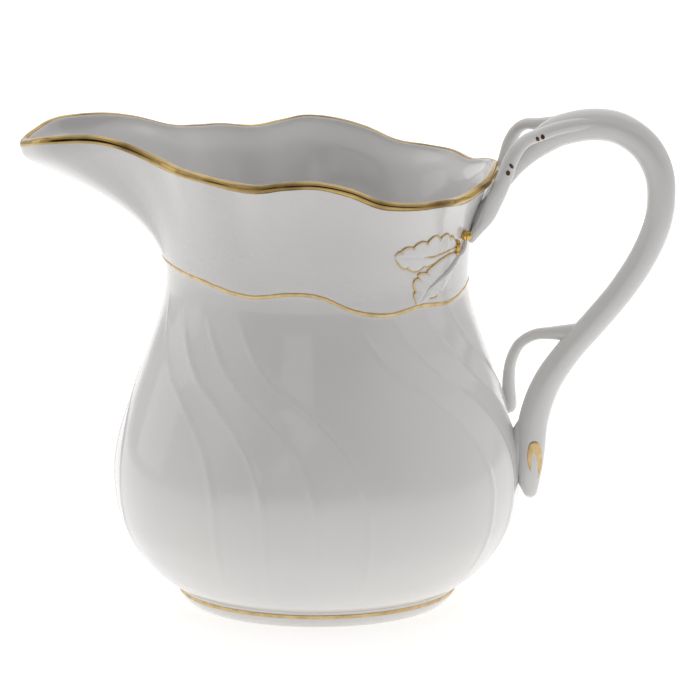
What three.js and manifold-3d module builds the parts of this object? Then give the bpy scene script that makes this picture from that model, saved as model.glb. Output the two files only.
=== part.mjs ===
// Porcelain cream jug: a vessel with a long spout on a foot ring, a forked twig handle, two sprigs
// of leaves and buds on the collar, and gilded edges. Millimetres, +Z up, +X towards the handle.
// Everything is laid out about the vessel's turning axis. The finished jug is then shifted so that
// its origin lies under the middle of its bounding box, on the surface it stands on.
import * as THREE from 'three';
import { ParametricGeometry } from 'three/addons/geometries/ParametricGeometry.js';
import { mergeVertices } from 'three/addons/utils/BufferGeometryUtils.js';
import Module from 'manifold-3d';

const wasm = await Module();
wasm.setup();

// ---- driving dimensions ----

const WALL = 2.3;
const LIP_WALL = 1.6;
const LIP_TAPER = 6;
const GAP = 0.3;

// Outer radius of the belly at each height, from the foot joint up to the neck.
const bellyStations = [
  [3.3, 26.0], [5.0, 28.7], [7.4, 31.4], [11.2, 34.2], [16.0, 36.4], [22.6, 37.5],
  [29.0, 37.1], [36.8, 35.0], [46.0, 31.8], [54.0, 29.1], [59.0, 27.95], [61.7, 27.75],
];
const BASE_HEIGHT = 3.3;
const NECK_HEIGHT = 61.7;
const NECK_RADIUS = 27.75;

// Waved rim: angle from the handle, radius and height. Both sides of the jug mirror each other.
const rimStations = [
  [0, 33.8, 82.4], [20, 34.1, 81.2], [32, 33.9, 80.0], [46, 35.2, 80.3], [56, 35.1, 80.4],
  [66, 33.2, 81.1], [76, 32.0, 83.4], [87, 32.3, 84.8], [97, 34.2, 84.9], [105, 34.0, 84.2],
  [116, 31.8, 83.9], [128, 32.6, 84.7], [138, 32.7, 85.1], [150, 33.4, 86.1], [159, 38.1, 88.3],
  [164, 43.0, 89.1], [168, 50.0, 88.5], [175, 53.6, 87.0], [180, 54.8, 86.2],
];

// Waved lower edge of the collar: angle from the handle and height.
const collarStations = [
  [0, 60.6], [28, 59.1], [44, 59.7], [59, 58.9], [72, 59.9],
  [86, 62.8], [97, 63.2], [113, 62.3], [139, 64.1], [180, 64.9],
];

// The collar flares as a power of its height share, and the spout flares faster to a rolled nose.
const FLARE_POWER = 2.05;
const SPOUT_GAIN = 0.35;
const SPOUT_STARTS = 34;
const SPOUT_FULL = 50;
const ROLL_STARTS = 0.85;

// Foot ring: radii of its section, and the heights at which the outside swells and is full.
const FOOT = {
  inner: 20.4, inside: 20.9, tread: 23.8, swell: 25.2, outer: 25.7,
  swellHeight: 1.4, fullHeight: 2.4, height: 3.0,
};
const RING_SIDES = 64;

// Gilding: thickness of the gold strips, where each lies, and how far the rim's stays off the forks.
const GILDING = 0.35;
const COLLAR_BAND_HALF = 0.45;
const RIM_BAND = { high: 0.2, low: 1.5, forkClear: 26 };
const FOOT_BAND = { low: 2.0, high: 2.8 };

// Twig handle: centre line in the jug's upright plane from the collar to the tail, with its radii.
const stemPath = [
  [35.0, 79.4], [36.2, 81.4], [38.4, 84.0], [40.5, 86.0], [42.7, 87.6], [45.3, 88.9],
  [50.6, 89.9], [55.7, 89.2], [60.3, 86.0], [62.9, 81.2], [63.4, 75.9], [62.6, 71.0],
  [60.2, 65.3], [56.4, 59.2], [51.6, 53.2], [46.3, 47.0], [42.4, 41.0], [40.2, 34.6],
  [39.5, 28.6], [39.3, 23.6], [39.6, 19.6],
];
const stemRadii = [
  [0, 1.0], [0.06, 1.9], [0.13, 2.8], [0.2, 2.95], [0.28, 2.85], [0.41, 2.6], [0.68, 2.45],
  [0.86, 2.75], [0.95, 2.4], [1, 0.7],
];
const stemFacets = { steps: 50, sides: 12 };

// The forks grip the stem's end: each runs from the collar, over the rim and into the stem's side.
const branchPath = [
  [29.7, 7.0, 71.1], [31.5, 7.7, 73.9], [32.8, 8.3, 76.8], [34.0, 8.9, 79.5], [34.7, 9.1, 82.0],
  [35.5, 9.0, 84.7], [36.8, 8.4, 87.0], [38.5, 6.8, 88.4], [40.9, 4.8, 88.9], [43.6, 3.3, 89.3],
];
const branchRadii = [[0, 1.0], [0.13, 1.45], [0.35, 1.55], [0.55, 1.4], [0.75, 1.25], [1, 1.2]];
const branchFacets = { steps: 16, sides: 10 };

const shootPath = [
  [47.2, 0.6, 50.3], [43.6, 1.2, 50.4], [40.2, 3.2, 49.6], [37.4, 5.6, 47.4],
  [35.8, 8.0, 44.0], [35.4, 9.8, 40.4], [35.7, 11.0, 36.4], [36.0, 11.4, 33.8],
];
const shootRadii = [[0, 1.2], [0.5, 1.05], [0.85, 1.15], [1, 0.5]];
const shootFacets = { steps: 18, sides: 8 };

// Leaf midribs on the collar: angle from the handle and height of base and tip, and half width.
const leaves = {
  upper: { base: [28.6, 69.5], tip: [58.2, 69.8], half: 3.0 },
  lower: { base: [29.5, 65.4], tip: [47.2, 61.0], half: 2.4 },
};
const LEAF_CROWN = 0.66;
const LEAF_EDGE = 0.06;
const LEAF_FULLEST = 0.6;
const BUD_SEAT = 0.75;
const stalk = { from: [20.0, 67.6], to: [27.2, 65.9], radius: 0.45 };
const buds = {
  round: { angle: 21.0, height: 71.2, radius: 1.0, stretch: 1.0 },
  long: { angle: 25.7, height: 69.7, radius: 0.75, stretch: 1.35 },
};

// Scars on the bark of the near fork: share of its length and how far up each one faces.
const scars = [[0.47, 0.1], [0.53, 0.1], [0.865, 0.1], [0.925, 0.1]];
const SCAR_RADIUS = 0.6;

// Arch on the tail: middle, height of its legs and crown, half width and radii of the stroke.
const arch = { x: 39.6, legs: 23.6, crown: 30.0, half: 1.7, thick: 0.4, thin: 0.2, tail: 2.75 };
const archFacets = { steps: 20, sides: 6 };
const ARCH_SPANS = 8;

// Facets of the vessel: columns round it, belly rows by height and collar rows by share of the rise.
const COLUMNS = 76;
const bellyRows = [3.3, 5.0, 7.6, 11.4, 16.5, 23.0, 30.5, 38.5, 46.5, 54.5, 61.7];
const collarRows = [0.14, 0.28, 0.42, 0.55, 0.66, 0.76, 0.85, 0.92, 1.0];

// ---- curves and the vessel's wall ----

const radians = THREE.MathUtils.degToRad;
const FULL_TURN = 2 * Math.PI;

// Smooth value through stations [at, value, ...], its slope at each taken from both neighbours.
function through(stations, at, column = 1) {
  const slope = (k) => {
    const before = stations[Math.max(k - 1, 0)];
    const after = stations[Math.min(k + 1, stations.length - 1)];
    return (after[column] - before[column]) / (after[0] - before[0]);
  };
  let k = 0;
  while (k < stations.length - 2 && at > stations[k + 1][0]) k += 1;
  const span = stations[k + 1][0] - stations[k][0];
  const t = (at - stations[k][0]) / span;
  const [t2, t3] = [t * t, t * t * t];
  return (2 * t3 - 3 * t2 + 1) * stations[k][column] + (t3 - 2 * t2 + t) * span * slope(k)
    + (3 * t2 - 2 * t3) * stations[k + 1][column] + (t3 - t2) * span * slope(k + 1);
}

// Stations of the half turn continued past both ends, so that slopes there are level.
function mirrored(stations) {
  const turned = ([at, ...values], centre) => [2 * centre - at, ...values];
  const last = stations.length - 1;
  return [turned(stations[1], 0), ...stations, turned(stations[last - 1], 180)];
}

const rimTable = mirrored(rimStations);
const collarTable = mirrored(collarStations);
const folded = (angle) => Math.abs(angle - 360 * Math.round(angle / 360));
const rimRadius = (angle) => through(rimTable, folded(angle), 1);
const rimHeight = (angle) => through(rimTable, folded(angle), 2);
const collarHeight = (angle) => through(collarTable, folded(angle));

// Share of the way from the neck's radius to the rim's at a share of the collar's height.
function flare(share, rim) {
  const gain = 1 + SPOUT_GAIN * THREE.MathUtils.smoothstep(rim, SPOUT_STARTS, SPOUT_FULL);
  const rolled = (value) => (value < ROLL_STARTS ? value
    : ROLL_STARTS + (1 - ROLL_STARTS) * Math.tanh((value - ROLL_STARTS) / (1 - ROLL_STARTS)));
  return rolled(gain * share ** FLARE_POWER) / rolled(gain);
}

function wallRadius(angle, height) {
  if (height <= NECK_HEIGHT) return through(bellyStations, height);
  const share = Math.min((height - NECK_HEIGHT) / (rimHeight(angle) - NECK_HEIGHT), 1);
  return NECK_RADIUS + (rimRadius(angle) - NECK_RADIUS) * flare(share, rimRadius(angle));
}

function onWall(angle, height) {
  const radius = wallRadius(angle, height);
  return new THREE.Vector3(
    radius * Math.cos(radians(angle)), radius * Math.sin(radians(angle)), height);
}

// Outward normal of the wall, from two short steps on each side.
function wallNormal(angle, height) {
  const top = rimHeight(angle);
  const around = onWall(angle + 0.5, height).sub(onWall(angle - 0.5, height));
  const up = onWall(angle, Math.min(height + 0.2, top)).sub(onWall(angle, height - 0.2));
  return around.cross(up).normalize();
}

// A point that stands off the wall by a distance: outside if it is positive.
function offWall(angle, height, distance) {
  return onWall(angle, height).addScaledVector(wallNormal(angle, height), distance);
}

// ---- closed solids ----

// Joins the seam of a surface, drops collapsed triangles and turns its faces outwards.
function closedBody(geometry) {
  const bare = geometry.index ? geometry.clone() : geometry;
  bare.deleteAttribute('normal');
  bare.deleteAttribute('uv');
  const body = mergeVertices(bare, 1e-4);
  const corners = body.index.array;
  const vertex = (k) => new THREE.Vector3().fromBufferAttribute(body.attributes.position, k);
  const kept = [];
  let volume = 0;
  for (let i = 0; i < corners.length; i += 3) {
    const [a, b, c] = corners.slice(i, i + 3);
    if (a === b || b === c || c === a) continue;
    kept.push([a, b, c]);
    volume += vertex(a).dot(vertex(b).cross(vertex(c)));
  }
  const outward = volume < 0 ? kept.map(([a, b, c]) => [a, c, b]) : kept;
  body.setIndex(outward.flat());
  return body;
}

// Closed surface from rows of points; every row closes on itself, and pole rows are one point.
function loft(rows) {
  const stacks = rows.length - 1;
  const slices = rows[0].length;
  const place = (u, v, target) => {
    target.copy(rows[Math.round(v * stacks)][Math.round(u * slices) % slices]);
  };
  return closedBody(new ParametricGeometry(place, slices, stacks));
}

const pole = (point, count) => Array.from({ length: count }, () => point.clone());
const centreOf = (row) => row.reduce((sum, point) => sum.add(point), new THREE.Vector3())
  .divideScalar(row.length);

// Ring of solid section that runs round the jug; section gives its corners at an angle.
function hoop(section, angles) {
  return loft([...angles, angles[0]].map(section));
}

// Round rod along a smooth path, thickened by its radii and by a margin, with closed ends.
function rod(path, radii, { steps, sides }, margin = 0) {
  const curve = new THREE.CatmullRomCurve3(path.map((point) => new THREE.Vector3(...point)));
  const frames = curve.computeFrenetFrames(steps);
  const ring = (k) => Array.from({ length: sides }, (_, side) => {
    const turn = FULL_TURN * side / sides;
    const radius = through(radii, k / steps) + margin;
    return curve.getPointAt(k / steps)
      .addScaledVector(frames.normals[k], radius * Math.cos(turn))
      .addScaledVector(frames.binormals[k], radius * Math.sin(turn));
  });
  const rings = Array.from({ length: steps + 1 }, (_, k) => ring(k));
  return loft([pole(centreOf(rings[0]), sides), ...rings, pole(centreOf(rings[steps]), sides)]);
}

function toSolid(geometry) {
  return new wasm.Manifold(new wasm.Mesh({
    numProp: 3,
    vertProperties: new Float32Array(geometry.attributes.position.array),
    triVerts: new Uint32Array(geometry.index.array),
  }));
}

function toGeometry(solid) {
  const { vertProperties, triVerts } = solid.getMesh();
  const geometry = new THREE.BufferGeometry();
  geometry.setAttribute('position', new THREE.BufferAttribute(vertProperties, 3));
  geometry.setIndex(new THREE.BufferAttribute(triVerts, 1));
  return geometry;
}

function cutBy(geometry, ...cutters) {
  const rest = cutters.reduce((solid, cutter) => solid.subtract(toSolid(cutter)), toSolid(geometry));
  return toGeometry(rest);
}

// ---- vessel and foot ----

// Columns are spaced evenly along the rim, which crowds them at the spout.
function columnAngles() {
  const points = Array.from({ length: 180 }, (_, k) => onWall(2 * k, rimHeight(2 * k)));
  const rim = new THREE.CatmullRomCurve3(points, true);
  return rim.getSpacedPoints(COLUMNS).slice(0, COLUMNS)
    .map((point) => THREE.MathUtils.radToDeg(Math.atan2(point.y, point.x)));
}

const angles = columnAngles();

// Heights of the rows at an angle: fixed on the belly, shares of the way to the rim on the collar.
function rowHeights(angle) {
  const rise = rimHeight(angle) - NECK_HEIGHT;
  return [...bellyRows, ...collarRows.map((share) => NECK_HEIGHT + share * rise)];
}

const rowCount = bellyRows.length + collarRows.length;
const outerRows = Array.from({ length: rowCount }, (_, row) => (
  angles.map((angle) => onWall(angle, rowHeights(angle)[row]))));

// The inner wall follows the outer one, thins to the lip and leaves the rim level.
function insidePoint(angle, row) {
  const height = rowHeights(angle)[row];
  const share = THREE.MathUtils.clamp(1 - (rimHeight(angle) - height) / LIP_TAPER, 0, 1);
  const normal = wallNormal(angle, height);
  normal.z *= 1 - share;
  const thickness = THREE.MathUtils.lerp(WALL, LIP_WALL, share);
  return onWall(angle, height).addScaledVector(normal.normalize(), -thickness);
}

function vessel() {
  const inside = outerRows.map((_, row) => angles.map((angle) => insidePoint(angle, row)));
  const floorHeight = inside[0][0].z;
  return loft([
    pole(new THREE.Vector3(0, 0, BASE_HEIGHT), COLUMNS),
    ...outerRows,
    ...inside.reverse(),
    pole(new THREE.Vector3(0, 0, floorHeight), COLUMNS),
  ]);
}

// The vessel's outline filled solid and swollen by the gap, which trims all that is stuck to it.
function envelope() {
  const rows = outerRows.map((_, row) => (
    angles.map((angle) => offWall(angle, rowHeights(angle)[row], GAP))));
  const [bottom, top] = [rows[0], rows[rowCount - 1]];
  return loft([pole(centreOf(bottom), COLUMNS), ...rows, pole(centreOf(top), COLUMNS)]);
}

// A ring turned about the vessel's axis from the corners [radius, height] of its section.
function turnedRing(corners) {
  const profile = [...corners, corners[0]].map(([radius, height]) => new THREE.Vector2(radius, height));
  return closedBody(new THREE.LatheGeometry(profile, RING_SIDES).rotateX(Math.PI / 2));
}

const footRing = () => turnedRing([
  [FOOT.inside, 0], [FOOT.tread, 0], [FOOT.swell, FOOT.swellHeight], [FOOT.outer, FOOT.fullHeight],
  [FOOT.outer, FOOT.height], [FOOT.inner, FOOT.height],
]);

// ---- handle ----

const stemPoints = stemPath.map(([x, z]) => [x, 0, z]);
const acrossJug = (path, side) => path.map(([x, y, z]) => [x, y * side, z]);
const swollenStem = rod(stemPoints, stemRadii, stemFacets, GAP);
const swollenVessel = envelope();

const stem = () => cutBy(rod(stemPoints, stemRadii, stemFacets), swollenVessel);
const branch = (side) => cutBy(
  rod(acrossJug(branchPath, side), branchRadii, branchFacets), swollenVessel, swollenStem);
const shoot = () => cutBy(rod(shootPath, shootRadii, shootFacets), swollenVessel, swollenStem);

// ---- leaf sprigs ----

// A pressed leaf: a lens-shaped section carried along its midrib, standing just off the collar.
function leaf({ base, tip, half }, side) {
  const steps = 8;
  const across = [-1, -0.5, 0, 0.5, 1];
  const row = (k) => {
    const along = k / steps;
    const width = half * Math.sin(Math.PI * along ** LEAF_FULLEST) + LEAF_EDGE;
    const angle = side * THREE.MathUtils.lerp(base[0], tip[0], along);
    const middle = THREE.MathUtils.lerp(base[1], tip[1], along);
    const thickness = (share) => LEAF_EDGE + (LEAF_CROWN - LEAF_EDGE) * (1 - share * share);
    const point = (share, distance) => offWall(angle, middle + share * width, distance);
    const crown = across.map((share) => point(share, GAP + thickness(share)));
    const back = across.toReversed().map((share) => point(share, GAP));
    return [...crown, ...back];
  };
  const rows = Array.from({ length: steps + 1 }, (_, k) => row(k));
  const sides = rows[0].length;
  return loft([pole(centreOf(rows[0]), sides), ...rows, pole(centreOf(rows[steps]), sides)]);
}

function leafStalk({ from, to, radius }, side) {
  const steps = 4;
  const path = Array.from({ length: steps + 1 }, (_, k) => {
    const angle = THREE.MathUtils.lerp(from[0], to[0], k / steps);
    const height = THREE.MathUtils.lerp(from[1], to[1], k / steps);
    return offWall(side * angle, height, GAP + radius).toArray();
  });
  return rod(path, [[0, radius], [1, radius]], { steps: 2 * steps, sides: 8 });
}

function bud({ angle, height, radius, stretch }, side) {
  const ball = new THREE.SphereGeometry(radius, 12, 8).scale(1, 1, stretch);
  const centre = offWall(side * angle, height, GAP + radius * BUD_SEAT);
  return cutBy(closedBody(ball.translate(centre.x, centre.y, centre.z)), swollenVessel);
}

// ---- gilding ----

// Section of a gold strip that stands just off the wall, between two heights that may wave.
const stripSection = (low, high) => (angle) => [
  offWall(angle, low(angle), GAP),
  offWall(angle, high(angle), GAP),
  offWall(angle, high(angle), GAP + GILDING),
  offWall(angle, low(angle), GAP + GILDING),
];

// The rim's band stops at the forks, which cover the rim beside the handle.
function rimBand() {
  const section = stripSection(
    (angle) => rimHeight(angle) - RIM_BAND.low, (angle) => rimHeight(angle) - RIM_BAND.high);
  const rows = angles.filter((angle) => folded(angle) > RIM_BAND.forkClear)
    .map((angle) => (angle + 360) % 360).sort((a, b) => a - b).map(section);
  const [first, last] = [rows[0], rows[rows.length - 1]];
  return loft([pole(centreOf(first), first.length), ...rows, pole(centreOf(last), last.length)]);
}

const collarBand = () => hoop(stripSection(
  (angle) => collarHeight(angle) - COLLAR_BAND_HALF,
  (angle) => collarHeight(angle) + COLLAR_BAND_HALF), angles);

function footBand() {
  const inner = FOOT.outer + GAP;
  const outer = inner + GILDING;
  return turnedRing([
    [inner, FOOT_BAND.low], [outer, FOOT_BAND.low], [outer, FOOT_BAND.high], [inner, FOOT_BAND.high],
  ]);
}

// Gold arch on the near face of the tail, laid just clear of the bark.
function tailArch() {
  const reach = arch.tail + GAP + arch.thick;
  const path = Array.from({ length: ARCH_SPANS + 1 }, (_, k) => {
    const turn = Math.PI * k / ARCH_SPANS;
    const aside = -arch.half * Math.cos(turn);
    const height = arch.legs + (arch.crown - arch.legs) * Math.sqrt(Math.sin(turn));
    return [arch.x + aside, -Math.sqrt(reach * reach - aside * aside), height];
  });
  const stroke = [[0, arch.thin], [0.5, arch.thick], [1, arch.thin]];
  return cutBy(rod(path, stroke, archFacets), swollenStem, swollenVessel);
}

// A small bead half sunk towards the bark of the near fork, on the side that faces outwards.
function scar([along, upward]) {
  const path = acrossJug(branchPath, -1);
  const curve = new THREE.CatmullRomCurve3(path.map((point) => new THREE.Vector3(...point)));
  const tangent = curve.getTangentAt(along);
  const facing = new THREE.Vector3(0, -1, upward);
  facing.addScaledVector(tangent, -facing.dot(tangent)).normalize();
  const reach = through(branchRadii, along) + GAP;
  const centre = curve.getPointAt(along).addScaledVector(facing, reach);
  const bead = new THREE.SphereGeometry(SCAR_RADIUS, 10, 8);
  bead.translate(centre.x, centre.y, centre.z);
  return cutBy(closedBody(bead), rod(path, branchRadii, branchFacets, GAP), swollenStem);
}

// ---- finishes and assembly ----

const glaze = { color: 0xdcdbd9, roughness: 0.12, metalness: 0.0 };
const biscuit = { color: 0xe6e2da, roughness: 0.6, metalness: 0.0 };
const gold = { color: 0xb9924a, roughness: 0.25, metalness: 1.0 };
const darkGold = { color: 0x4a3214, roughness: 0.35, metalness: 1.0 };

const jug = new THREE.Group();

function add(name, geometry, finish) {
  const mesh = new THREE.Mesh(geometry, new THREE.MeshStandardMaterial(finish));
  mesh.name = name;
  jug.add(mesh);
}

add('jug_body', vessel(), glaze);
add('foot_ring', footRing(), biscuit);
add('handle_stem', stem(), glaze);
add('handle_shoot', shoot(), glaze);

for (const [where, side] of [['near', -1], ['far', 1]]) {
  add(`handle_branch_${where}`, branch(side), glaze);
  add(`leaf_upper_${where}`, leaf(leaves.upper, side), glaze);
  add(`leaf_lower_${where}`, leaf(leaves.lower, side), glaze);
  add(`leaf_stalk_${where}`, leafStalk(stalk, side), glaze);
  add(`bud_round_${where}`, bud(buds.round, side), gold);
  add(`bud_long_${where}`, bud(buds.long, side), gold);
}

add('rim_gilding', rimBand(), gold);
add('collar_gilding', collarBand(), gold);
add('foot_gilding', footBand(), gold);
add('tail_gilding', tailArch(), gold);
scars.forEach((place, index) => add(`branch_scar_${index + 1}`, scar(place), darkGold));

const bounds = new THREE.Box3().setFromObject(jug);
const middle = bounds.getCenter(new THREE.Vector3());
jug.position.set(-middle.x, -middle.y, -bounds.min.z);
jug.updateMatrixWorld(true);

export default jug;
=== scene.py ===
import math
import bpy
import numpy as np
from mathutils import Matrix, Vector
from mathutils.bvhtree import BVHTree


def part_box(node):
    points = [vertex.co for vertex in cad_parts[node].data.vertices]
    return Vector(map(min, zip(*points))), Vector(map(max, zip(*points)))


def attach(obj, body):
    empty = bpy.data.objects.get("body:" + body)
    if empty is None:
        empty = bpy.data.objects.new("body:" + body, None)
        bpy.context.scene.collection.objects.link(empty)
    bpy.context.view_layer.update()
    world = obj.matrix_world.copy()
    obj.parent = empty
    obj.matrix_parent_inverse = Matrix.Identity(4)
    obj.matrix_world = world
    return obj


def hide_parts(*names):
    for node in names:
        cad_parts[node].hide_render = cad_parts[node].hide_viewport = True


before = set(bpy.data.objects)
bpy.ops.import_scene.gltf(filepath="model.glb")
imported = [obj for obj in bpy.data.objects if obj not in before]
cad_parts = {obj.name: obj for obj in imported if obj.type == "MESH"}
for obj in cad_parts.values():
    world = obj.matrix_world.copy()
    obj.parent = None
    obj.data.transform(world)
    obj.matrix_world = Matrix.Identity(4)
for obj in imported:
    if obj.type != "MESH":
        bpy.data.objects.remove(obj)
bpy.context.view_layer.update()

# Vessel
# Belly, neck, collar and spout are one slip-cast shell of porcelain, about 2 mm thick, with swirled
# ribs moulded into the belly, a fine grain into the collar, and a clear glaze inside and out.
MM = 0.001
foot_low, foot_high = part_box("foot_ring")
axis_x = (foot_low[0] + foot_high[0]) / 2

WALL = 2.3
LIP_WALL = 1.6
LIP_TAPER = 6.0
NECK_HEIGHT = 61.7
NECK_RADIUS = 27.75
FLARE_POWER = 2.05
SPOUT_GAIN = 0.35
SPOUT_STARTS, SPOUT_FULL = 34.0, 50.0
ROLL_STARTS = 0.85

# height and outer radius of the belly
belly_stations = np.array([
    (3.3, 26.0), (5.0, 28.7), (7.4, 31.4), (11.2, 34.2), (16.0, 36.4), (22.6, 37.5),
    (29.0, 37.1), (36.8, 35.0), (46.0, 31.8), (54.0, 29.1), (59.0, 27.95), (61.7, 27.75)])
# angle from the handle, radius and height of the waved rim
rim_stations = np.array([
    (0, 33.8, 82.4), (20, 34.1, 81.2), (32, 33.9, 80.0), (46, 35.2, 80.3), (56, 35.1, 80.4),
    (66, 33.2, 81.1), (76, 32.0, 83.4), (87, 32.3, 84.8), (97, 34.2, 84.9), (105, 34.0, 84.2),
    (116, 31.8, 83.9), (128, 32.6, 84.7), (138, 32.7, 85.1), (150, 33.4, 86.1),
    (159, 38.1, 88.3), (164, 43.0, 89.1), (168, 50.0, 88.5), (175, 53.6, 87.0), (180, 54.8, 86.2)])
# angle from the handle and height of the collar's waved lower edge
collar_stations = np.array([
    (0, 60.6), (28, 59.1), (44, 59.7), (59, 58.9), (72, 59.9),
    (86, 62.8), (97, 63.2), (113, 62.3), (139, 64.1), (180, 64.9)])


def through(stations, at, column=1):
    """Smooth value through stations, its slope at each taken from both neighbours."""
    at = np.asarray(at, float)
    key, value = stations[:, 0], stations[:, column]
    before = np.maximum(np.arange(len(key)) - 1, 0)
    after = np.minimum(np.arange(len(key)) + 1, len(key) - 1)
    slope = (value[after] - value[before]) / (key[after] - key[before])
    k = np.clip(np.searchsorted(key, at) - 1, 0, len(key) - 2)
    span = key[k + 1] - key[k]
    t = (at - key[k]) / span
    return ((2 * t**3 - 3 * t**2 + 1) * value[k] + (t**3 - 2 * t**2 + t) * span * slope[k]
            + (3 * t**2 - 2 * t**3) * value[k + 1] + (t**3 - t**2) * span * slope[k + 1])


def mirrored(stations):
    """The stations of a half turn with one more past each end, so the slope there is level."""
    first = stations[1] * 1.0
    first[0] *= -1
    last = stations[-2] * 1.0
    last[0] = 360 - last[0]
    return np.vstack([first, stations, last])


rim_table = mirrored(rim_stations)
collar_table = mirrored(collar_stations)


def folded(angle):
    angle = np.asarray(angle, float)
    return np.abs(angle - 360 * np.round(angle / 360))


def rim_radius(angle):
    return through(rim_table, folded(angle), 1)


def rim_height(angle):
    return through(rim_table, folded(angle), 2)


def collar_height(angle):
    return through(collar_table, folded(angle))


def smooth_step(low, high, value):
    t = np.clip((value - low) / (high - low), 0, 1)
    return t * t * (3 - 2 * t)


def flare(share, rim):
    """Share of the way from the neck's radius to the rim's, rolled over to a nose at the spout."""
    gain = 1 + SPOUT_GAIN * smooth_step(SPOUT_STARTS, SPOUT_FULL, rim)

    def rolled(value):
        over = np.maximum(value - ROLL_STARTS, 0) / (1 - ROLL_STARTS)
        return np.minimum(value, ROLL_STARTS) + (1 - ROLL_STARTS) * np.tanh(over)
    return rolled(gain * share**FLARE_POWER) / rolled(gain)


COLLAR_STEP = 0.22


def wall_radius(angle, height, edge_step=COLLAR_STEP):
    angle, height = np.broadcast_arrays(np.asarray(angle, float), np.asarray(height, float))
    rise = rim_height(angle) - NECK_HEIGHT
    share = np.clip((height - NECK_HEIGHT) / rise, 0, 1)
    belly = through(belly_stations, np.minimum(height, NECK_HEIGHT))
    rim = rim_radius(angle)
    step = edge_step * smooth_step(-0.5, 0.3, height - collar_height(angle))
    fade = 1 - smooth_step(0.3, 0.7, share)
    return belly + (rim - NECK_RADIUS) * flare(share, rim) + step * fade


def on_wall(angle, height, edge_step=COLLAR_STEP):
    """Points of the outer wall in millimetres, about the vessel's own axis."""
    radius = wall_radius(angle, height, edge_step)
    turn = np.radians(angle)
    height = np.broadcast_to(height, radius.shape)
    return np.stack([radius * np.cos(turn), radius * np.sin(turn), height], -1)


def wall_normal(angle, height, edge_step=COLLAR_STEP):
    angle, height = np.broadcast_arrays(np.asarray(angle, float), np.asarray(height, float))
    around = on_wall(angle + 0.4, height, edge_step) - on_wall(angle - 0.4, height, edge_step)
    top = np.minimum(height + 0.15, rim_height(angle))
    up = on_wall(angle, top, edge_step) - on_wall(angle, height - 0.15, edge_step)
    normal = np.cross(around, up)
    return normal / np.linalg.norm(normal, axis=-1, keepdims=True)


def off_wall(angle, height, distance):
    distance = np.asarray(distance, float)[..., None]
    return on_wall(angle, height) + wall_normal(angle, height) * distance


def to_metres(points):
    return (np.asarray(points) + np.array([axis_x / MM, 0, 0])) * MM


def skin_mesh(name, rows, start=None, end=None, closed_rows=False):
    """A closed mesh over rings of points, faces outwards; start and end are its pole points."""
    rows = np.asarray(rows)
    count, sides = rows.shape[:2]
    points = [rows.reshape(-1, 3)]
    index = np.arange(count * sides).reshape(count, sides)
    nxt = np.roll(index, -1, axis=1)
    last = count if closed_rows else count - 1
    below = index[:last]
    above = np.roll(index, -1, axis=0)[:last]
    quads = np.stack([below, nxt[:last], np.roll(nxt, -1, axis=0)[:last], above], -1)
    faces = quads.reshape(-1, 4).tolist()
    total = count * sides
    for pole, ring in ((start, index[0][::-1]), (end, index[-1])):
        if pole is not None:
            points.append(np.asarray(pole, float).reshape(1, 3))
            faces += [(int(a), int(b), total) for a, b in zip(ring, np.roll(ring, -1))]
            total += 1
    mesh = bpy.data.meshes.new(name)
    mesh.from_pydata(to_metres(np.vstack(points)).tolist(), [], faces)
    mesh.polygons.foreach_set("use_smooth", np.ones(len(mesh.polygons), bool))
    mesh.update()
    corners = np.vstack(points)[quads.reshape(-1, 4)]
    volume = 0.0
    for second, third in ((1, 2), (2, 3)):
        across = np.cross(corners[:, second], corners[:, third])
        volume += np.einsum("ij,ij->", corners[:, 0], across)
    if volume < 0:
        mesh.flip_normals()
    return mesh


def new_piece(name, mesh, *materials):
    piece = bpy.data.objects.new(name, mesh)
    bpy.context.scene.collection.objects.link(piece)
    for material in materials:
        mesh.materials.append(material)
    return piece


COLUMNS = 460
BELLY_SHARE = 0.5
fine = np.arange(0, 360, 0.5)
rim_loop = on_wall(fine, rim_height(fine))
steps = np.linalg.norm(np.roll(rim_loop, -1, axis=0) - rim_loop, axis=1)
# columns are shared out partly evenly round the belly and partly by the rim's length
travel = np.concatenate([[0], np.cumsum(
    (1 - BELLY_SHARE) * steps / steps.sum() + BELLY_SHARE / len(fine))])


def spread_angles(count):
    return np.interp(np.arange(count) / count, travel, np.append(fine, 360))


angles = spread_angles(COLUMNS)

LIP_RISE = 0.7
belly_heights = np.concatenate([
    np.linspace(3.3, 8.0, 9)[:-1], np.linspace(8.0, 56.0, 78)[:-1], np.linspace(56.0, NECK_HEIGHT, 10)])
collar_shares = np.concatenate([np.linspace(0, 0.75, 26)[1:], np.linspace(0.75, 1.0, 18)[1:]])
rise = rim_height(angles) - NECK_HEIGHT - LIP_RISE
outer_heights = np.vstack([
    np.repeat(belly_heights[:, None], COLUMNS, axis=1),
    NECK_HEIGHT + collar_shares[:, None] * rise[None, :]])
outer = on_wall(angles[None, :], outer_heights)
# the wall is measured inwards from a skin without the collar's step, so the inside stays smooth
plain = on_wall(angles[None, :], outer_heights, 0)
normals = wall_normal(np.broadcast_to(angles, outer_heights.shape), outer_heights, 0)

near_lip = 1 - smooth_step(0, LIP_TAPER, rim_height(angles)[None, :] - outer_heights)
inward = normals * 1.0
inward[..., 2] *= 1 - near_lip
inward /= np.linalg.norm(inward, axis=-1, keepdims=True)
thickness = WALL + (LIP_WALL - WALL) * near_lip
inner = plain - inward * thickness[..., None]

lip = []
for turn in np.linspace(0, math.pi, 9)[1:-1]:
    middle = (outer[-1] + inner[-1]) / 2
    half = (outer[-1] - inner[-1]) / 2
    lip.append(middle + half * math.cos(turn) + np.array([0, 0, LIP_RISE * math.sin(turn)]))

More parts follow.
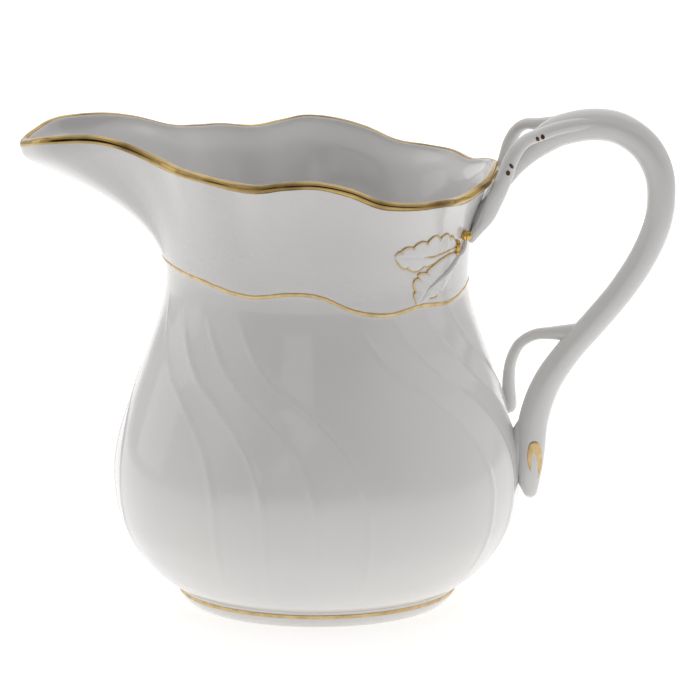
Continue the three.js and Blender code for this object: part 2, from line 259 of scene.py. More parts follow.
# the smooth inside takes every second row of the collar, every third of the belly, all of the bend
BEND_ROWS = 8
inner_pick = np.r_[
    len(inner) - 1:belly_heights.size:-2, belly_heights.size:BEND_ROWS:-3, BEND_ROWS - 1:-1:-1]
floor_height = inner[0, 0, 2]
floor_rings = [inner[0] * [share, share, 1] for share in (0.8, 0.5, 0.2)]
base_rings = [outer[0] * [share, share, 1] for share in (0.2, 0.5, 0.8, 0.97)]
vessel_rows = np.concatenate([base_rings, outer, lip, inner[inner_pick], floor_rings])
vessel_mesh = skin_mesh(
    "vessel", vessel_rows, start=(0, 0, outer[0, 0, 2]), end=(0, 0, floor_height))

# each point knows its angle, its height and how far it belongs to the ribbed or grained outside
row_count = len(vessel_rows)
first_outer, last_outer = len(base_rings), len(base_rings) + len(outer)
height_rows = vessel_rows[..., 2]
outside = np.zeros((row_count, COLUMNS))
outside[first_outer:last_outer] = 1
above_edge = height_rows - collar_height(angles)[None, :]
grained = outside * smooth_step(0.5, 1.5, above_edge)
for label, values in (
        ("turn", np.broadcast_to(angles, (row_count, COLUMNS))),
        ("outside", outside),
        ("collar_grain", grained)):
    layer = vessel_mesh.attributes.new(label, "FLOAT", "POINT")
    layer.data.foreach_set("value", np.append(values.reshape(-1), [0, 0]).astype(np.float32))


def start_tree(name, inputs, material):
    """A geometry tree with named inputs that ends in Realize Instances and Set Material."""
    tree = bpy.data.node_groups.new(name, "GeometryNodeTree")
    tree.interface.new_socket("Geometry", in_out="INPUT", socket_type="NodeSocketGeometry")
    for label, value in inputs.items():
        kind = "NodeSocketInt" if isinstance(value, int) else "NodeSocketFloat"
        tree.interface.new_socket(label, in_out="INPUT", socket_type=kind).default_value = value
    tree.interface.new_socket("Geometry", in_out="OUTPUT", socket_type="NodeSocketGeometry")
    source = tree.nodes.new("NodeGroupInput")
    realize = tree.nodes.new("GeometryNodeRealizeInstances")
    paint = tree.nodes.new("GeometryNodeSetMaterial")
    paint.inputs["Material"].default_value = material
    result = tree.nodes.new("NodeGroupOutput")
    tree.links.new(realize.outputs[0], paint.inputs["Geometry"])
    tree.links.new(paint.outputs[0], result.inputs[0])
    return tree, source, realize


def calculator(tree):
    """Returns a function that adds a Math node and gives its output."""
    def work(operation, *values, clamp=False):
        node = tree.nodes.new("ShaderNodeMath")
        node.operation = operation
        node.use_clamp = clamp
        for slot, value in enumerate(values):
            if isinstance(value, (int, float)):
                node.inputs[slot].default_value = value
            else:
                tree.links.new(value, node.inputs[slot])
        return node.outputs[0]
    return work


def grow(piece, tree, settings):
    """Runs a tree on a piece, with inputs set by identifier, and keeps the result as a mesh."""
    modifier = piece.modifiers.new(tree.name, "NODES")
    modifier.node_group = tree
    for item in tree.interface.items_tree:
        if item.item_type == "SOCKET" and item.in_out == "INPUT" and item.name in settings:
            modifier[item.identifier] = settings[item.name]
    bpy.context.view_layer.update()
    evaluated = piece.evaluated_get(bpy.context.evaluated_depsgraph_get())
    mesh = bpy.data.meshes.new_from_object(evaluated)
    name = piece.name
    if piece.type == "MESH":
        piece.modifiers.remove(modifier)
        piece.data = mesh
        return piece
    bpy.data.objects.remove(piece)
    return new_piece(name, mesh)


def glaze_material(name, body_colour, cool_colour):
    """White porcelain under clear glaze, faintly clouded and rippled, and its bump node."""
    material = bpy.data.materials.new(name)
    material.use_nodes = True
    tree = material.node_tree
    shader = tree.nodes["Principled BSDF"]
    place = tree.nodes.new("ShaderNodeTexCoord")
    cloud = tree.nodes.new("ShaderNodeTexNoise")
    cloud.inputs["Scale"].default_value = 55
    cloud.inputs["Detail"].default_value = 3
    tree.links.new(place.outputs["Object"], cloud.inputs["Vector"])
    tint = tree.nodes.new("ShaderNodeValToRGB")
    tint.color_ramp.elements[0].position = 0.35
    tint.color_ramp.elements[0].color = (*cool_colour, 1)
    tint.color_ramp.elements[1].position = 0.65
    tint.color_ramp.elements[1].color = (*body_colour, 1)
    tree.links.new(cloud.outputs["Fac"], tint.inputs["Fac"])
    tree.links.new(tint.outputs["Color"], shader.inputs["Base Color"])
    gloss = tree.nodes.new("ShaderNodeMapRange")
    gloss.inputs["To Min"].default_value = 0.07
    gloss.inputs["To Max"].default_value = 0.15
    tree.links.new(cloud.outputs["Fac"], gloss.inputs["Value"])
    tree.links.new(gloss.outputs["Result"], shader.inputs["Roughness"])
    ripple = tree.nodes.new("ShaderNodeTexNoise")
    ripple.inputs["Scale"].default_value = 190
    ripple.inputs["Detail"].default_value = 1
    tree.links.new(place.outputs["Object"], ripple.inputs["Vector"])
    bump = tree.nodes.new("ShaderNodeBump")
    bump.inputs["Strength"].default_value = 0.25
    bump.inputs["Distance"].default_value = 0.00006
    tree.links.new(ripple.outputs["Fac"], bump.inputs["Height"])
    tree.links.new(bump.outputs["Normal"], shader.inputs["Normal"])
    shader.inputs["IOR"].default_value = 1.52
    shader.inputs["Coat Weight"].default_value = 0.35
    shader.inputs["Coat Roughness"].default_value = 0.04
    return material, bump


GLAZE_COLOURS = (0.755, 0.75, 0.735), (0.73, 0.73, 0.725)
glaze, _ = glaze_material("porcelain_glaze", *GLAZE_COLOURS)
vessel_glaze, vessel_bump = glaze_material("vessel_glaze", *GLAZE_COLOURS)

# the collar's grain: small soft pits, shown only where the wall says that it is grained
tree = vessel_glaze.node_tree
grain_share = tree.nodes.new("ShaderNodeAttribute")
grain_share.attribute_name = "collar_grain"
place = tree.nodes.new("ShaderNodeTexCoord")
pits = tree.nodes.new("ShaderNodeTexVoronoi")
pits.feature = "SMOOTH_F1"
pits.inputs["Scale"].default_value = 1150
pits.inputs["Smoothness"].default_value = 0.8
tree.links.new(place.outputs["Object"], pits.inputs["Vector"])
masked = tree.nodes.new("ShaderNodeMath")
masked.operation = "MULTIPLY"
tree.links.new(pits.outputs["Distance"], masked.inputs[0])
tree.links.new(grain_share.outputs["Fac"], masked.inputs[1])
grain_bump = tree.nodes.new("ShaderNodeBump")
grain_bump.inputs["Strength"].default_value = 0.35
grain_bump.inputs["Distance"].default_value = 0.00012
tree.links.new(masked.outputs[0], grain_bump.inputs["Height"])
tree.links.new(vessel_bump.outputs["Normal"], grain_bump.inputs["Normal"])
tree.links.new(grain_bump.outputs["Normal"], tree.nodes["Principled BSDF"].inputs["Normal"])

# ribs: groups of swirled lines, plain panels between the groups, all fading at neck and foot
RIB_INPUTS = {
    "Groups": 4, "Ribs in a group": 4, "Rib spacing": 15.0, "First rib": -117.5,
    "Rib height": 0.0002, "Flute depth": 0.00014, "Rib sharpness": 6.0,
    "Fade from": 0.006, "Fade to": 0.013, "Neck from": 0.0610, "Neck to": 0.0520,
}
# height in metres and how far the ribs have turned there, in degrees
swirl_stations = ((0.008, 0), (0.022, 0.5), (0.026, 0), (0.032, -3), (0.037, -8.5), (0.042, -17.5),
                  (0.0465, -28), (0.053, -39), (0.062, -48))
rib_tree, ribs_in, ribs_out = start_tree("swirled_ribs", RIB_INPUTS, vessel_glaze)
work = calculator(rib_tree)


def stored(tree, label):
    node = tree.nodes.new("GeometryNodeInputNamedAttribute")
    node.data_type = "FLOAT"
    node.inputs["Name"].default_value = label
    return node.outputs["Attribute"]


position = rib_tree.nodes.new("GeometryNodeInputPosition")
split = rib_tree.nodes.new("ShaderNodeSeparateXYZ")
rib_tree.links.new(position.outputs[0], split.inputs[0])
height = split.outputs["Z"]
swirl = rib_tree.nodes.new("ShaderNodeFloatCurve")
curve = swirl.mapping.curves[0]
low, high = swirl_stations[0][0], swirl_stations[-1][0]
# the curve runs from 0 to 1, so a turn of no degrees is held at its level and the rest in spans
SWIRL_SPAN = 60.0
SWIRL_LEVEL = 0.95
while len(curve.points) < len(swirl_stations):
    curve.points.new(0.5, 0.5)
for point, (at, shift) in zip(curve.points, swirl_stations):
    point.location = ((at - low) / (high - low), SWIRL_LEVEL + shift / SWIRL_SPAN)
swirl.mapping.update()
share = work("DIVIDE", work("SUBTRACT", height, low), high - low, clamp=True)
rib_tree.links.new(share, swirl.inputs["Value"])
shift = work("MULTIPLY", work("SUBTRACT", swirl.outputs[0], SWIRL_LEVEL), SWIRL_SPAN)
turned = work("SUBTRACT", work("SUBTRACT", stored(rib_tree, "turn"), shift),
              ribs_in.outputs["First rib"])
period = work("DIVIDE", 360.0, ribs_in.outputs["Groups"])
spacing = ribs_in.outputs["Rib spacing"]
in_group = work("WRAP", turned, work("SUBTRACT", period, work("MULTIPLY", spacing, 0.5)),
                work("MULTIPLY", spacing, -0.5))
cell = work("WRAP", in_group, work("MULTIPLY", spacing, 0.5), work("MULTIPLY", spacing, -0.5))
spread = work("MULTIPLY", spacing, work("SUBTRACT", ribs_in.outputs["Ribs in a group"], 0.5))
inside_group = work("LESS_THAN", in_group, spread)
ridge = work("EXPONENT", work("MULTIPLY", work("POWER", work("ABSOLUTE", cell), 2.0),
                              work("DIVIDE", ribs_in.outputs["Rib sharpness"], -4.0)))
ridge = work("MULTIPLY", work("MULTIPLY", ridge, inside_group), ribs_in.outputs["Rib height"])
last_rib = work("MULTIPLY", spacing, work("SUBTRACT", ribs_in.outputs["Ribs in a group"], 1.0))
flute_zone = work("MULTIPLY", work("GREATER_THAN", in_group, 0.0),
                  work("LESS_THAN", in_group, last_rib))
hollow = work("ABSOLUTE", work("SINE", work("MULTIPLY", work("DIVIDE", in_group, spacing), math.pi)))
hollow = work("MULTIPLY", work("MULTIPLY", hollow, flute_zone), ribs_in.outputs["Flute depth"])


def fade(value, start, end):
    node = rib_tree.nodes.new("ShaderNodeMapRange")
    node.interpolation_type = "SMOOTHSTEP"
    rib_tree.links.new(value, node.inputs["Value"])
    rib_tree.links.new(start, node.inputs["From Min"])
    rib_tree.links.new(end, node.inputs["From Max"])
    return node.outputs["Result"]


strength = work("MULTIPLY", fade(height, ribs_in.outputs["Fade from"], ribs_in.outputs["Fade to"]),
                fade(height, ribs_in.outputs["Neck from"], ribs_in.outputs["Neck to"]))
strength = work("MULTIPLY", strength, stored(rib_tree, "outside"))
raise_by = work("MULTIPLY", work("SUBTRACT", ridge, hollow), strength)
normal = rib_tree.nodes.new("GeometryNodeInputNormal")
push = rib_tree.nodes.new("ShaderNodeVectorMath")
push.operation = "SCALE"
rib_tree.links.new(normal.outputs[0], push.inputs[0])
rib_tree.links.new(raise_by, push.inputs["Scale"])
move = rib_tree.nodes.new("GeometryNodeSetPosition")
rib_tree.links.new(ribs_in.outputs["Geometry"], move.inputs["Geometry"])
rib_tree.links.new(push.outputs[0], move.inputs["Offset"])
rib_tree.links.new(move.outputs[0], ribs_out.inputs[0])

vessel = grow(new_piece("vessel", vessel_mesh, vessel_glaze), rib_tree, RIB_INPUTS)
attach(vessel, "root")
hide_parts("jug_body")

# Foot ring
# A turned ring of the same porcelain, stuck under the belly. Its sides are glazed, and the
# tread that stood on the kiln shelf is ground bare and a little warmer and rougher.
FOOT_SIDES = 220
foot_profile = (
    (20.5, 3.5), (20.6, 2.0), (20.9, 0.8), (21.2, 0.25), (21.7, 0.0), (22.4, 0.0), (23.2, 0.0),
    (23.8, 0.12), (24.4, 0.5), (25.0, 1.1), (25.4, 1.7), (25.7, 2.3), (25.85, 2.8), (26.0, 3.2),
    (26.2, 3.5), (25.6, 3.7), (23.0, 3.8), (21.0, 3.7))
around = np.linspace(0, 2 * math.pi, FOOT_SIDES, endpoint=False)


def turned_rows(profile):
    """Rings turned about the vessel's axis, one for each radius and height of a section."""
    return np.stack([
        np.stack([r * np.cos(around), r * np.sin(around), np.full(FOOT_SIDES, z)], -1)
        for r, z in profile])


foot_glaze, _ = glaze_material("foot_glaze", *GLAZE_COLOURS)
tree = foot_glaze.node_tree
shader = tree.nodes["Principled BSDF"]
place = tree.nodes.new("ShaderNodeTexCoord")
split = tree.nodes.new("ShaderNodeSeparateXYZ")
tree.links.new(place.outputs["Object"], split.inputs[0])
bare = tree.nodes.new("ShaderNodeMapRange")
bare.inputs["From Min"].default_value = 0.0004
bare.inputs["From Max"].default_value = 0.0001
tree.links.new(split.outputs["Z"], bare.inputs["Value"])
for target, bare_value in (("Base Color", (0.66, 0.62, 0.55, 1)), ("Roughness", 0.62)):
    glazed = shader.inputs[target].links[0].from_socket
    blend = tree.nodes.new("ShaderNodeMix")
    blend.data_type = "RGBA" if target == "Base Color" else "FLOAT"
    sockets = [s for s in blend.inputs if s.enabled]
    out = [s for s in blend.outputs if s.enabled][0]
    tree.links.new(bare.outputs["Result"], sockets[0])
    tree.links.new(glazed, sockets[1])
    sockets[2].default_value = bare_value
    tree.links.new(out, shader.inputs[target])
foot = new_piece(
    "foot", skin_mesh("foot", turned_rows(foot_profile), closed_rows=True), foot_glaze)
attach(foot, "root")
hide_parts("foot_ring")

# Twig handle
# Four rolled and bent rods of porcelain, a little uneven as a twig is, and stuck together with slip
# before firing: the main stem, two forks that grip collar and rim, and a thin shoot to the belly.
stem_path = [
    (34.2, 0, 77.8), (36.2, 0, 81.4), (38.4, 0, 84.0), (40.5, 0, 86.0), (42.7, 0, 87.6),
    (45.3, 0, 88.9), (50.6, 0, 89.9), (55.7, 0, 89.2), (60.3, 0, 86.0),
    (62.9, 0, 81.2), (63.4, 0, 75.9), (62.6, 0, 71.0), (60.2, 0, 65.3), (56.4, 0, 59.2),
    (51.6, 0, 53.2), (46.3, 0, 47.0), (42.4, 0, 41.0), (40.2, 0, 34.6), (39.5, 0, 28.6),
    (39.3, 0, 23.6), (39.7, 0, 19.3)]
stem_radii = np.array([
    (0, 0.8), (0.035, 1.5), (0.065, 1.9), (0.09, 2.3), (0.11, 2.6), (0.14, 2.85), (0.19, 2.95),
    (0.28, 2.9), (0.41, 2.6), (0.68, 2.42), (0.86, 2.75), (0.93, 2.7), (0.97, 2.0), (1, 0.9)])
fork_path = np.array([
    (28.4, 6.4, 68.9), (29.7, 7.0, 71.1), (31.5, 7.7, 73.9), (32.8, 8.3, 76.8), (34.0, 8.9, 79.5),
    (34.7, 9.1, 82.0), (35.5, 9.0, 84.7), (36.8, 8.4, 87.0), (38.5, 6.8, 88.4), (40.9, 4.8, 88.9),
    (44.6, 3.0, 89.7), (49.0, 1.9, 90.3), (54.0, 1.3, 90.3), (58.5, 0.8, 88.2)])
fork_radii = np.array([
    (0, 0.6), (0.06, 1.0), (0.15, 1.5), (0.25, 1.6), (0.33, 1.55), (0.4, 1.5), (0.5, 1.3),
    (0.62, 1.25), (0.8, 1.3), (0.9, 1.2), (1, 0.6)])
shoot_path = [
    (49.6, 0.2, 50.6), (46.8, 0.6, 50.6), (43.6, 1.2, 50.4), (40.2, 3.2, 49.6), (37.4, 5.6, 47.4),
    (35.8, 8.0, 44.0), (35.2, 9.8, 40.4), (35.2, 11.0, 36.4), (35.3, 11.5, 32.8)]
shoot_radii = np.array([
    (0, 2.2), (0.1, 1.6), (0.25, 1.12), (0.6, 1.05), (0.85, 1.25), (0.95, 1.35), (1, 0.8)])


def smooth_path(points, count):
    """Evenly spaced points on a smooth curve through the given ones."""
    points = np.array(points, float)
    gaps = np.sqrt(np.linalg.norm(np.diff(points, axis=0), axis=1))
    at = np.concatenate([[0], np.cumsum(gaps)])
    table = np.column_stack([at, points])
    dense = np.linspace(0, at[-1], 600)
    trace = np.stack([through(table, dense, column) for column in (1, 2, 3)], -1)
    length = np.concatenate([[0], np.cumsum(np.linalg.norm(np.diff(trace, axis=0), axis=1))])
    even = np.linspace(0, length[-1], count)
    return np.stack([np.interp(even, length, trace[:, axis]) for axis in range(3)], -1)


def path_curve(name, traces):
    """A curve object of one or more open lines: points in millimetres with a radius at each."""
    data = bpy.data.curves.new(name, "CURVE")
    data.dimensions = "3D"
    for points, radii in traces:
        spline = data.splines.new("POLY")
        spline.points.add(len(points) - 1)
        for point, place, radius in zip(spline.points, to_metres(points), radii):
            point.co = (*place, 1)
            point.radius = radius * MM
    piece = bpy.data.objects.new(name, data)
    bpy.context.scene.collection.objects.link(piece)
    return piece


def rod_tree(name, inputs, material):
    """A tree that sweeps a round section along a curve, its radius swelling and thinning a little."""
    tree, source, result = start_tree(name, inputs, material)
    work = calculator(tree)
    noise = tree.nodes.new("ShaderNodeTexNoise")
    noise.noise_dimensions = "4D"
    tree.links.new(source.outputs["Knot spacing"], noise.inputs["Scale"])
    tree.links.new(source.outputs["Knot seed"], noise.inputs["W"])
    own_radius = tree.nodes.new("GeometryNodeInputRadius")
    swell = work("MULTIPLY", work("SUBTRACT", noise.outputs["Fac"], 0.5), source.outputs["Unevenness"])
    thick = tree.nodes.new("GeometryNodeSetCurveRadius")
    tree.links.new(source.outputs["Geometry"], thick.inputs["Curve"])
    swollen = work("MULTIPLY", own_radius.outputs[0], work("ADD", swell, 1.0))
    tree.links.new(swollen, thick.inputs["Radius"])
    ring = tree.nodes.new("GeometryNodeCurvePrimitiveCircle")
    ring.inputs["Radius"].default_value = 1.0
    tree.links.new(source.outputs["Sides"], ring.inputs["Resolution"])
    sweep = tree.nodes.new("GeometryNodeCurveToMesh")
    sweep.inputs["Fill Caps"].default_value = True
    tree.links.new(thick.outputs[0], sweep.inputs["Curve"])
    tree.links.new(ring.outputs[0], sweep.inputs["Profile Curve"])
    if "Scale" in sweep.inputs:
        read_back = tree.nodes.new("GeometryNodeInputRadius")
        tree.links.new(read_back.outputs[0], sweep.inputs["Scale"])
    soft = tree.nodes.new("GeometryNodeSetShadeSmooth")
    tree.links.new(sweep.outputs[0], soft.inputs[0])
    tree.links.new(soft.outputs[0], result.inputs[0])
    return tree


TWIG_INPUTS = {"Sides": 40, "Unevenness": 0.05, "Knot spacing": 95.0, "Knot seed": 3.0}
twig_tree = rod_tree("twig_rod", TWIG_INPUTS, glaze)


def twig(name, path, radii, count, seed, *nodes):
    """A glazed rod along a path, with the radius at shares of its length, for the nodes given."""
    points = smooth_path(path, count)
    share = np.linspace(0, 1, count)
    thick = through(radii, share)
    length = np.linalg.norm(np.diff(points, axis=0), axis=1).sum()
    # both ends are rounded off over their own radius
    for distance, end in ((share * length, thick[0]), ((1 - share) * length, thick[-1])):
        dome = np.sqrt(np.clip(1 - (1 - distance / end)**2, 0.01, 1))
        thick = np.where(distance < end, thick * dome, thick)
    piece = grow(path_curve(name, [(points, thick)]), twig_tree, {**TWIG_INPUTS, "Knot seed": seed})
    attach(piece, "root")
    if nodes:
        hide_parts(*nodes)
    return piece


twig_stem = twig("twig_stem", stem_path, stem_radii, 240, 3.0, "handle_stem")
twig("side_shoot", shoot_path, shoot_radii, 110, 8.0, "handle_shoot")
# both forks slim down where they bend, and the far one bows out while the near one hugs the stem
BOW_OUT = np.array([-0.75, 0, 0.65])
SLIMMEST_AT, SLIM_SPREAD = 0.42, 0.16
fork_height = fork_path[:, 2]
fork_bend = smooth_step(79, 84, fork_height) * (1 - smooth_step(88.2, 89.6, fork_height))
slim = np.exp(-((fork_radii[:, 0] - SLIMMEST_AT) / SLIM_SPREAD)**2)
forks = {}
for where, side, bow, slimmer in (("near", -1, -0.45, 0.12), ("far", 1, 0.30, 0.30)):
    path = fork_path * [1, side, 1] + fork_bend[:, None] * bow * BOW_OUT
    radii = fork_radii - np.outer(slim, [0, slimmer])
    forks[where] = twig(
        f"fork_{where}", path, radii, 130, 5.0 + side, f"handle_branch_{where}")

# Roots
# Pads of slip fill the corners where the handle's tail is pressed against the belly and where the
# forks stand on the collar.
root_path = [(38.9, 0, 35.4), (37.9, 0, 32.2), (37.4, 0, 29.0), (37.3, 0, 25.5), (38.2, 0, 21.8)]
root_radii = np.array([(0, 0.5), (0.25, 1.6), (0.5, 2.0), (0.75, 1.7), (1, 0.5)])
twig("lower_root", root_path, root_radii, 60, 6.0)
collar_root_path = [(28.5, 5.2, 69.6), (29.9, 5.8, 72.2), (31.2, 6.5, 75.0), (32.6, 7.2, 78.2)]
collar_root_radii = np.array([(0, 0.5), (0.3, 1.25), (0.7, 1.35), (1, 0.6)])
for where, side in (("near", -1), ("far", 1)):
    across = [(x, y * side, z) for x, y, z in collar_root_path]
    twig(f"collar_root_{where}", across, collar_root_radii, 50, 9.0 + side)

# Rim, collar and foot gilding
# Bright gold is brushed on the fired glaze, fired again at a lower heat and burnished with an
# agate. It is a thin film with soft edges, right over the lip, along the collar's edge and round
# the foot.


def gold_material(name, bright, dull, smooth, rough, mottle=620):
    """Fired gold, its colour and gloss varied by noise of a fineness: brush marks, and painted
    reflection streaks where the colours are painted dark.
    """
    material = bpy.data.materials.new(name)
    material.use_nodes = True
    tree = material.node_tree
    shader = tree.nodes["Principled BSDF"]
    place = tree.nodes.new("ShaderNodeTexCoord")
    brush = tree.nodes.new("ShaderNodeTexNoise")
    brush.inputs["Scale"].default_value = mottle
    brush.inputs["Detail"].default_value = 4
    tree.links.new(place.outputs["Object"], brush.inputs["Vector"])
    tint = tree.nodes.new("ShaderNodeValToRGB")
    tint.color_ramp.elements[0].position = 0.3
    tint.color_ramp.elements[0].color = (*dull, 1)
    tint.color_ramp.elements[1].position = 0.62
    tint.color_ramp.elements[1].color = (*bright, 1)
    tree.links.new(brush.outputs["Fac"], tint.inputs["Fac"])
    tree.links.new(tint.outputs["Color"], shader.inputs["Base Color"])
    gloss = tree.nodes.new("ShaderNodeMapRange")
    gloss.inputs["To Min"].default_value = rough
    gloss.inputs["To Max"].default_value = smooth
    tree.links.new(brush.outputs["Fac"], gloss.inputs["Value"])
    tree.links.new(gloss.outputs["Result"], shader.inputs["Roughness"])
    bump = tree.nodes.new("ShaderNodeBump")
    bump.inputs["Strength"].default_value = 0.2
    bump.inputs["Distance"].default_value = 0.00003
    tree.links.new(brush.outputs["Fac"], bump.inputs["Height"])
    tree.links.new(bump.outputs["Normal"], shader.inputs["Normal"])
    shader.inputs["Metallic"].default_value = 1.0
    return material


# the rim gold's colour is painted dark and streaked by coarse noise: a painted dark reflection with
# painted bright streaks, over the gold's own colour
rim_gold = gold_material(
    "burnished_rim_gold_painted_reflection", (0.56, 0.40, 0.16), (0.20, 0.125, 0.045), 0.07, 0.12, mottle=110)
line_gold = gold_material("brushed_line_gold", (0.68, 0.51, 0.26), (0.52, 0.37, 0.17), 0.28, 0.45)

FILM = 0.05
SUNK = -0.12
FILM_BACK = -0.24
BRUSH_WAVER = 0.12
WAVER_SPAN = 25


def brush_waver(count, seed):
    """How far the brush wanders from its line at each of count places, in millimetres."""
    draw = np.random.default_rng(seed).normal(0, 1, count + WAVER_SPAN - 1)
    return BRUSH_WAVER * np.convolve(draw, np.ones(WAVER_SPAN) / WAVER_SPAN, "valid")


def film_band(name, band_angles, low_heights, high_heights, bulge, seed):
    """A film on the outer wall between two heights, with soft edges that sink into the glaze."""
    low = low_heights + brush_waver(len(band_angles), seed)
    across = np.array([0, 0.04, 0.12, 0.2, 0.3, 0.4, 0.5, 0.6, 0.7, 0.8, 0.88, 0.96, 1.0])
    lift = FILM * (across > 0.1) * (across < 0.9) + bulge * np.sin(math.pi * across)
    lift[[0, -1]] = SUNK
    front = [off_wall(band_angles, low + (high_heights - low) * a, np.full(len(low), d))
             for a, d in zip(across, lift)]
    back = [off_wall(band_angles, low + (high_heights - low) * a, np.full(len(low), FILM_BACK))
            for a in (0.8, 0.5, 0.2)]
    rows = np.stack(front + back, 1)
    return skin_mesh(name, rows, closed_rows=True)


BAND_ANGLES = spread_angles(900)
rim_top = rim_height(BAND_ANGLES) - LIP_RISE
band_width = 0.8 + 0.15 * np.sin(np.radians(BAND_ANGLES * 9))
top_edge = on_wall(BAND_ANGLES, rim_top)
lip_out = wall_normal(BAND_ANGLES, rim_top) * [1, 1, 0]
lip_out /= np.linalg.norm(lip_out, axis=-1, keepdims=True)


def over_lip(turn, distance):
    """A line round the lip: turn is 0 at the outer edge and a quarter turn on its top."""
    half = LIP_WALL / 2
    centre = top_edge - lip_out * half
    place = centre + lip_out * half * math.cos(turn) + np.array([0, 0, LIP_RISE * math.sin(turn)])
    facing = lip_out * math.cos(turn) / half + np.array([0, 0, math.sin(turn) / LIP_RISE])
    facing /= np.linalg.norm(facing, axis=-1, keepdims=True)
    return place + facing * distance


# share of the way across the gold below the lip and over it, and how far it stands off the glaze
GOLD_OVER_LIP = 2.5
RIM_LIFT = 0.06
below_lip = ((0, SUNK), (0.05, 0), (0.2, RIM_LIFT), (0.4, 0.12), (0.6, 0.15), (0.8, 0.13), (0.95, 0.09))
on_lip = ((0.05, 0.07), *((a, RIM_LIFT) for a in np.linspace(0.15, 0.85, 8)), (0.95, 0), (1, SUNK))
wavering_width = band_width + brush_waver(len(BAND_ANGLES), 11)
lower = [off_wall(BAND_ANGLES, rim_top - wavering_width * (1 - a), np.full(len(rim_top), d))
         for a, d in below_lip]
upper = [over_lip(a * GOLD_OVER_LIP, d) for a, d in on_lip]
back = [over_lip(a * GOLD_OVER_LIP, FILM_BACK) for a in (0.8, 0.6, 0.4, 0.2)] + [
    off_wall(BAND_ANGLES, rim_top - band_width * a, np.full(len(rim_top), FILM_BACK))
    for a in (0.3, 0.7)]
rim_band = new_piece(
    "rim_gold", skin_mesh("rim_gold", np.stack(lower + upper + back, 1), closed_rows=True), rim_gold)
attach(rim_band, "root")
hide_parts("rim_gilding")

edge = collar_height(BAND_ANGLES)
collar_band = new_piece("collar_gold", film_band(
    "collar_gold", BAND_ANGLES, edge - 0.42, edge + 0.38, 0.06, 12), line_gold)
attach(collar_band, "root")
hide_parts("collar_gilding")

foot_line = ((25.55, 2.05), (25.7, 2.1), (25.78, 2.3), (25.86, 2.55), (25.93, 2.8), (25.85, 2.88),
             (25.4, 2.5))
foot_band = new_piece(
    "foot_gold", skin_mesh("foot_gold", turned_rows(foot_line), closed_rows=True), line_gold)
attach(foot_band, "root")
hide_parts("foot_gilding")

# Leaves
# Each leaf is pressed in a small mould and stuck to the collar with slip. Its toothed edge stands
# a little off the wall, its face swells between faint side veins, and the glaze runs over it.
MM_PER_DEGREE = 0.52
LEAF_SINK, LEAF_BACK = -0.06, -0.35
LEAF_EDGE_RISE, LEAF_GROOVE = 0.30, 0.10
LEAF_LINE_SHARE = 0.93
# each leaf from base to tip as (degrees from the handle, height): one edge, the midrib, the other
leaf_plans = {
    "upper": {
        "above": [(25.5, 69.9), (28.5, 71.2), (34, 72.5), (42, 72.8), (49.5, 71.9), (55.5, 71.1),
                  (58.4, 69.8)],
        "midrib": [(25.5, 69.4), (28.5, 69.4), (34, 69.1), (40.5, 68.8), (47, 69.2), (53, 69.6),
                   (58.4, 69.8)],
        "below": [(25.5, 68.9), (29, 68.8), (34, 68.2), (40, 67.2), (46.5, 66.4), (53, 67.0),
                  (58.4, 69.8)],
        "teeth": (7.0, 5.0), "first_tooth": 0.12, "tooth_depth": 0.36, "swell": 0.22},
    "lower": {
        "above": [(22.5, 68.1), (30, 68.4), (37.5, 67.5), (43, 66.1), (47.3, 65.4), (48.0, 62.8),
                  (46.6, 59.9)],
        "midrib": [(22.5, 67.6), (26.5, 66.2), (30.5, 64.9), (35, 63.9), (39.5, 62.9), (43, 61.7),
                   (46.6, 59.9)],
        "below": [(22.2, 67.0), (24.2, 65.4), (27.0, 63.4), (31.0, 61.9), (35.5, 61.0), (40, 60.4),
                  (46.6, 59.9)],
        "teeth": (6.0, 5.0), "first_tooth": 0.42, "tooth_depth": 0.36, "swell": 0.16},
}


def leaf_edge(plan, edge, t):
    """Places along one of a leaf's lines; t runs from its base to its tip."""
    stations = np.column_stack([np.linspace(0, 1, len(plan[edge])), plan[edge]])
    return np.stack([through(stations, t, 1), through(stations, t, 2)], -1)


def on_leaf(plan, t, s):
    """Places on a leaf and how far its face stands off the wall; s is -1 and 1 at its edges."""
    t, s = np.broadcast_arrays(np.asarray(t, float), np.asarray(s, float))
    middle = leaf_edge(plan, "midrib", t)
    edge = np.where((s > 0)[..., None], leaf_edge(plan, "above", t), leaf_edge(plan, "below", t))
    count = np.where(s > 0, plan["teeth"][0], plan["teeth"][1])
    lobe = np.abs(np.sin(math.pi * count * t))
    shown = smooth_step(plan["first_tooth"], plan["first_tooth"] + 0.12, t)
    reach = 1 + shown * plan["tooth_depth"] * (np.sqrt(lobe) - 0.75)
    place = middle + (edge - middle) * (np.abs(s) * reach)[..., None]
    width = np.linalg.norm((edge - middle) * [MM_PER_DEGREE, 1], axis=-1)
    from_rib = np.abs(s) * width
    ends = smooth_step(0, 0.05, t) * smooth_step(0, 0.04, 1 - t)
    rim = LEAF_EDGE_RISE * (1 - np.abs(s)**8)
    veins = 0.75 + 0.25 * np.abs(np.sin(math.pi * count * (t + 0.10 * np.abs(s))))
    groove = LEAF_GROOVE * np.exp(-(from_rib / 0.3)**2)
    distance = LEAF_SINK + ends * (rim + plan["swell"] * (1 - s * s) * veins - groove)
    return place, distance


def capped_mesh(name, rows):
    return skin_mesh(name, rows, start=rows[0].mean(0), end=rows[-1].mean(0))


